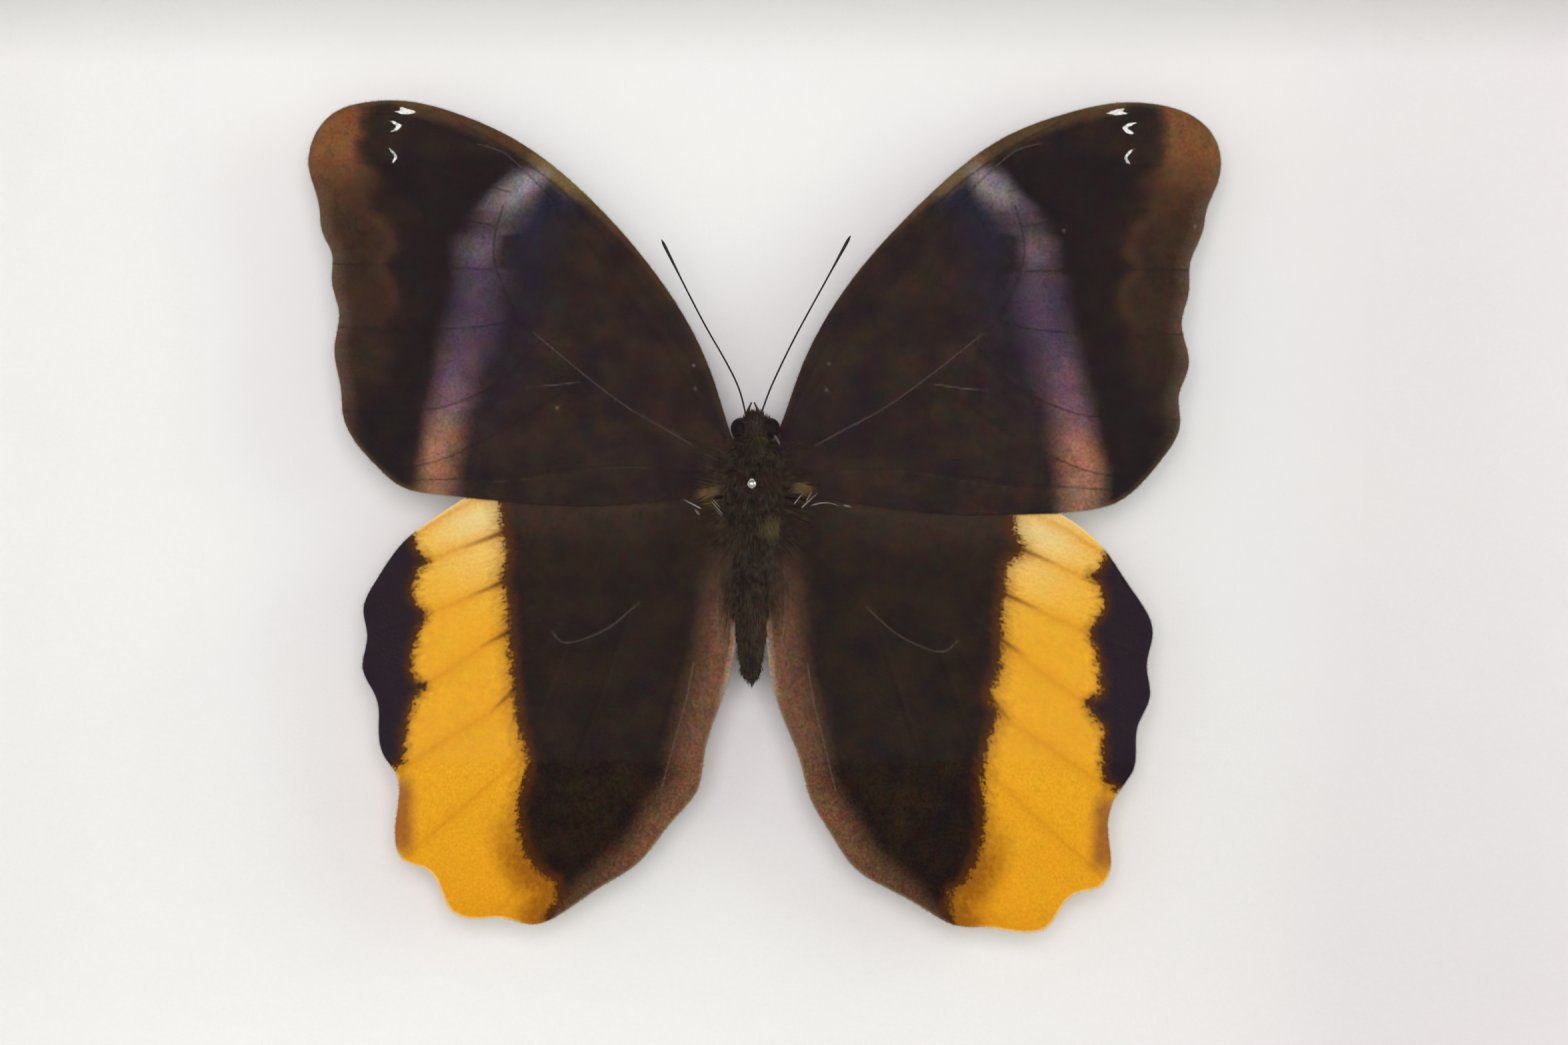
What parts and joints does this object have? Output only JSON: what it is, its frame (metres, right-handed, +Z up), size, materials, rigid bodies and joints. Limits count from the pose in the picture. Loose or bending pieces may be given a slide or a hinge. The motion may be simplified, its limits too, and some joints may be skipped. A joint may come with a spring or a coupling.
{
  "type": "butterfly display case",
  "caption": "Shallow glazed wooden wall case with a hinged lid, holding a large spread butterfly on an insect pin over a white ground.",
  "frame": {"origin": "centre of the case body's underside, half way through the depth of the body's rails", "axes": "+X to the viewer's right along the width, +Y towards the wall, +Z up towards the butterfly's head; the glass faces -Y"},
  "size_m": [0.3181, 0.0697, 0.21],
  "materials": {
    "hardwood": "walnut, satin oil",
    "white_liner": "thin board covered with white paper",
    "backing_board": "hardboard, raw",
    "foam": "closed-cell foam",
    "paper": "matt white paper",
    "felt": "wool felt",
    "glass": "clear float glass",
    "brass": "satin brass",
    "plated_steel": "zinc plated",
    "rubber": "matt",
    "pin_steel": "polished stainless steel",
    "insect_body": "dark brown hair scales",
    "insect_eye": "dark, faintly shiny",
    "antenna": "dark chitin",
    "forewing": "dark brown wing scales",
    "hindwing": "black and orange wing scales"
  },
  "bodies": {
    "case": {"case_rail_top": "hardwood", "case_rail_bottom": "hardwood", "case_rail_left": "hardwood", "case_rail_right": "hardwood", "liner_top": "white_liner", "liner_bottom": "white_liner", "liner_left": "white_liner", "liner_right": "white_liner", "hinge_lower_case_leaf": "brass", "hinge_lower_pin": "brass", "hinge_upper_case_leaf": "brass", "hinge_upper_pin": "brass", "hanger_strap_left": "plated_steel", "hanger_strap_right": "plated_steel", "back_panel": "backing_board", "panel_points": "plated_steel", "foam_base": "foam", "ground_paper": "paper", "dust_seal": "felt", "hinge_case_screws": "brass", "hook_pivot_screws": "brass", "hook_washers": "brass", "hanger_screws": "plated_steel", "bumpers": "rubber"},
    "lid": {"lid_rail_top": "hardwood", "lid_rail_bottom": "hardwood", "lid_rail_left": "hardwood", "lid_rail_right": "hardwood", "glazing_bead_top": "hardwood", "glazing_bead_bottom": "hardwood", "glazing_bead_left": "hardwood", "glazing_bead_right": "hardwood", "hinge_lower_lid_leaf": "brass", "hinge_upper_lid_leaf": "brass", "glass_pane": "glass", "hinge_lid_screws": "brass", "keeper_screws": "brass"},
    "hook_lower": {"hook_lower": "brass"},
    "hook_upper": {"hook_upper": "brass"},
    "hanger_ring_left": {"hanger_ring_left": "plated_steel"},
    "hanger_ring_right": {"hanger_ring_right": "plated_steel"},
    "specimen": {"insect_pin": "pin_steel", "pin_head": "pin_steel", "thorax": "insect_body", "abdomen": "insect_body", "head": "insect_body", "eyes": "insect_eye", "palps": "insect_body", "antenna_left": "antenna", "antenna_right": "antenna", "legs": "antenna", "forewing_left": "forewing", "forewing_right": "forewing", "hindwing_left": "hindwing", "hindwing_right": "hindwing"}
  },
  "joints": [
    {"name": "lid_swing", "type": "hinge", "parent": "case", "child": "lid", "pos_m": [-0.1574, -0.0236, 0.105], "axis": [0, 0, -1], "range_deg": [0, 180]},
    {"name": "hook_lower_turn", "type": "hinge", "parent": "case", "child": "hook_lower", "pos_m": [0.15616, -0.011, 0.048], "axis": [1, 0, 0], "range_deg": [0, 270]},
    {"name": "hook_upper_turn", "type": "hinge", "parent": "case", "child": "hook_upper", "pos_m": [0.15616, -0.011, 0.162], "axis": [1, 0, 0], "range_deg": [0, 270]},
    {"name": "hanger_left_swing", "type": "hinge", "parent": "case", "child": "hanger_ring_left", "pos_m": [-0.148, 0.0251, 0.148], "axis": [1, 0, 0], "range_deg": [0, 180]},
    {"name": "hanger_right_swing", "type": "hinge", "parent": "case", "child": "hanger_ring_right", "pos_m": [0.148, 0.0251, 0.148], "axis": [1, 0, 0], "range_deg": [0, 180]},
    {"name": "pin_lift", "type": "slide", "parent": "case", "child": "specimen", "axis": [0, -1, 0], "range_m": [0, 0.009]}
  ]
}
